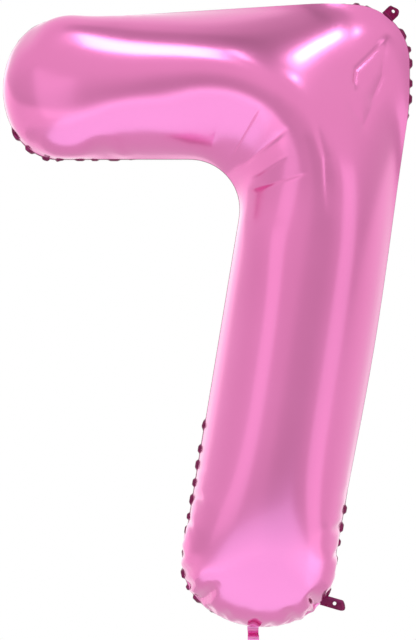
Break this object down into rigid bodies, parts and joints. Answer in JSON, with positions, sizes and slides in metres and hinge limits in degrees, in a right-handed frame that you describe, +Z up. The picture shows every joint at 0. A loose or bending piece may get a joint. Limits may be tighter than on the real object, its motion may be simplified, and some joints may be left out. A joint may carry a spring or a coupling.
{
  "type": "foil number balloon",
  "caption": "Inflated metallised foil balloon shaped as the figure seven, with heat-sealed edge, punched hanging tabs and a self-sealing inflation neck.",
  "frame": {"origin": "centre of the punched hole in the shoulder tab, which the balloon hangs by", "axes": "+Z up, with the figure upright; the figure reads correctly from the front, which faces -Y; +X to the reader's right"},
  "size_m": [0.5809, 0.2226, 0.899],
  "materials": {
    "pink_foil": "pink-tinted metallised film, high gloss",
    "sealed_foil": "two plies of pink metallised film welded flat, gloss, slightly crimped",
    "release_print": "thin matt heat-resistant print",
    "valve_film": "clear soft polyethylene film"
  },
  "bodies": {
    "balloon": {"front_panel": "pink_foil", "back_panel": "pink_foil", "seam_band": "sealed_foil"},
    "shoulder_tab": {"top_tab": "sealed_foil"},
    "foot_strip": {"foot_tab": "sealed_foil"},
    "neck": {"neck_front_film": "pink_foil", "neck_back_film": "pink_foil", "neck_release_coating": "release_print"},
    "valve": {"valve_front_film": "valve_film", "valve_back_film": "valve_film", "valve_side_seals": "valve_film"}
  },
  "joints": [
    {"name": "top_tab_fold", "type": "hinge", "parent": "balloon", "child": "shoulder_tab", "pos_m": [-0.00578, 0.00778, -0.0052], "axis": [-0.6691, 0, 0.7431], "range_deg": [-35, 125]},
    {"name": "foot_tab_fold", "type": "hinge", "parent": "balloon", "child": "foot_strip", "pos_m": [-0.09493, 0.00778, -0.82427], "axis": [0.2588, 0, 0.9659], "range_deg": [-65, 95]},
    {"name": "neck_fold", "type": "hinge", "parent": "balloon", "child": "neck", "pos_m": [-0.19597, 0.00778, -0.8614], "axis": [1, 0, 0], "range_deg": [-45, 90]},
    {"name": "valve_swing", "type": "hinge", "parent": "balloon", "child": "valve", "pos_m": [-0.19564, 0.00778, -0.85823], "axis": [0.9866, 0, -0.1633], "range_deg": [-25, 25]}
  ]
}
